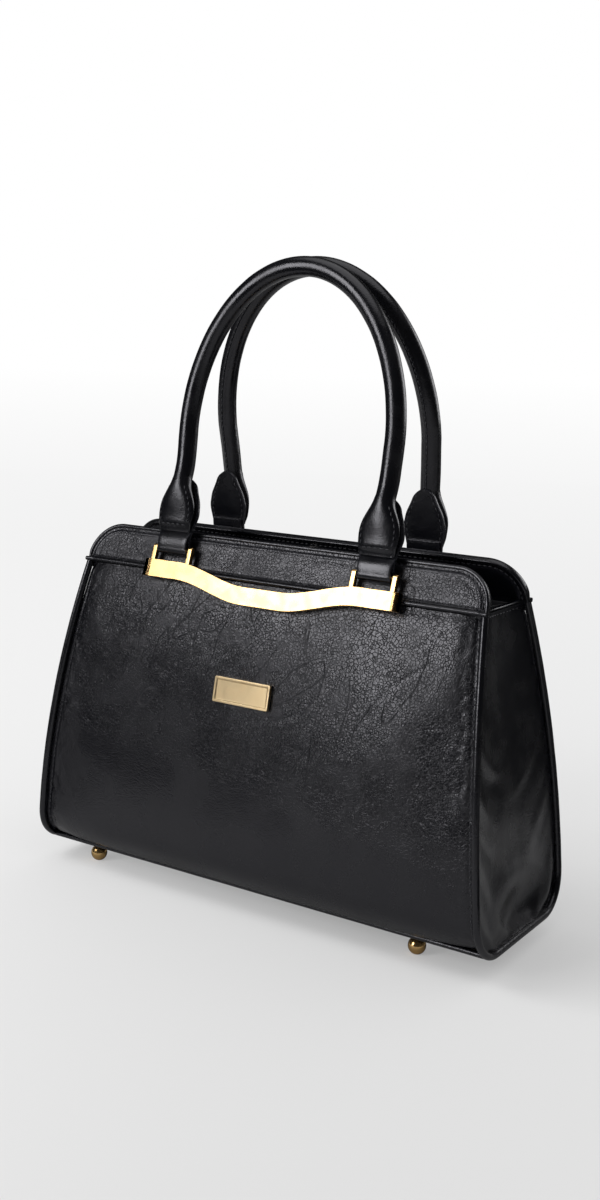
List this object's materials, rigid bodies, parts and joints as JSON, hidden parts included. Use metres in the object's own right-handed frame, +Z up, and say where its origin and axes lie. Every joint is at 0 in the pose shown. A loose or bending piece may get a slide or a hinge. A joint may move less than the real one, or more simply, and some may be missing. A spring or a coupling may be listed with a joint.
{
  "type": "structured handbag",
  "caption": "Boxy leather handbag tapering to an open mouth, with rolled handles hinged on cast bracket bars, piped gussets, a bare name plate and ball feet.",
  "frame": {"origin": "on the floor under the middle of the bag, centre of the footprint", "axes": "+Z up, -Y out of the front face, +X to the right seen from the front"},
  "size_m": [0.3194, 0.1114, 0.3852],
  "materials": {
    "grained_leather": "pebble-grained, satin",
    "smooth_leather": "smooth, semi-gloss",
    "lining_cloth": "plain weave, matt",
    "stiffening_board": "pressed fibre board, matt",
    "pale_gold": "satin pale gold plate",
    "plated_steel": "plated"
  },
  "bodies": {
    "bag": {"front_panel": "grained_leather", "back_panel": "grained_leather", "front_yoke": "grained_leather", "back_yoke": "grained_leather", "left_gusset": "smooth_leather", "right_gusset": "smooth_leather", "left_gusset_piping": "smooth_leather", "right_gusset_piping": "smooth_leather", "front_base_piping": "smooth_leather", "back_base_piping": "smooth_leather", "base_panel": "smooth_leather", "front_rim_binding": "smooth_leather", "back_rim_binding": "smooth_leather", "front_yoke_welt": "smooth_leather", "back_yoke_welt": "smooth_leather", "front_facing": "smooth_leather", "back_facing": "smooth_leather", "lining": "lining_cloth", "front_board": "stiffening_board", "back_board": "stiffening_board", "base_board": "stiffening_board", "front_bracket_bar": "pale_gold", "back_bracket_bar": "pale_gold", "name_plate": "pale_gold", "front_left_strap_pin": "pale_gold", "front_right_strap_pin": "pale_gold", "back_left_strap_pin": "pale_gold", "back_right_strap_pin": "pale_gold", "front_left_foot": "pale_gold", "front_right_foot": "pale_gold", "back_left_foot": "pale_gold", "back_right_foot": "pale_gold", "front_left_foot_nut": "plated_steel", "front_right_foot_nut": "plated_steel", "back_left_foot_nut": "plated_steel", "back_right_foot_nut": "plated_steel", "front_left_bar_screw": "plated_steel", "front_right_bar_screw": "plated_steel", "back_left_bar_screw": "plated_steel", "back_right_bar_screw": "plated_steel", "snap_socket": "plated_steel", "snap_stud": "plated_steel"},
    "front_handle": {"front_handle_roll": "smooth_leather", "front_handle_left_strap": "smooth_leather", "front_handle_right_strap": "smooth_leather"},
    "back_handle": {"back_handle_roll": "smooth_leather", "back_handle_left_strap": "smooth_leather", "back_handle_right_strap": "smooth_leather"}
  },
  "joints": [
    {"name": "front_handle_hinge", "type": "hinge", "parent": "bag", "child": "front_handle", "pos_m": [0, -0.02759, 0.20998], "axis": [1, 0, 0], "range_deg": [0, 136]},
    {"name": "back_handle_hinge", "type": "hinge", "parent": "bag", "child": "back_handle", "pos_m": [0, 0.02759, 0.20998], "axis": [-1, 0, 0], "range_deg": [0, 120]}
  ]
}
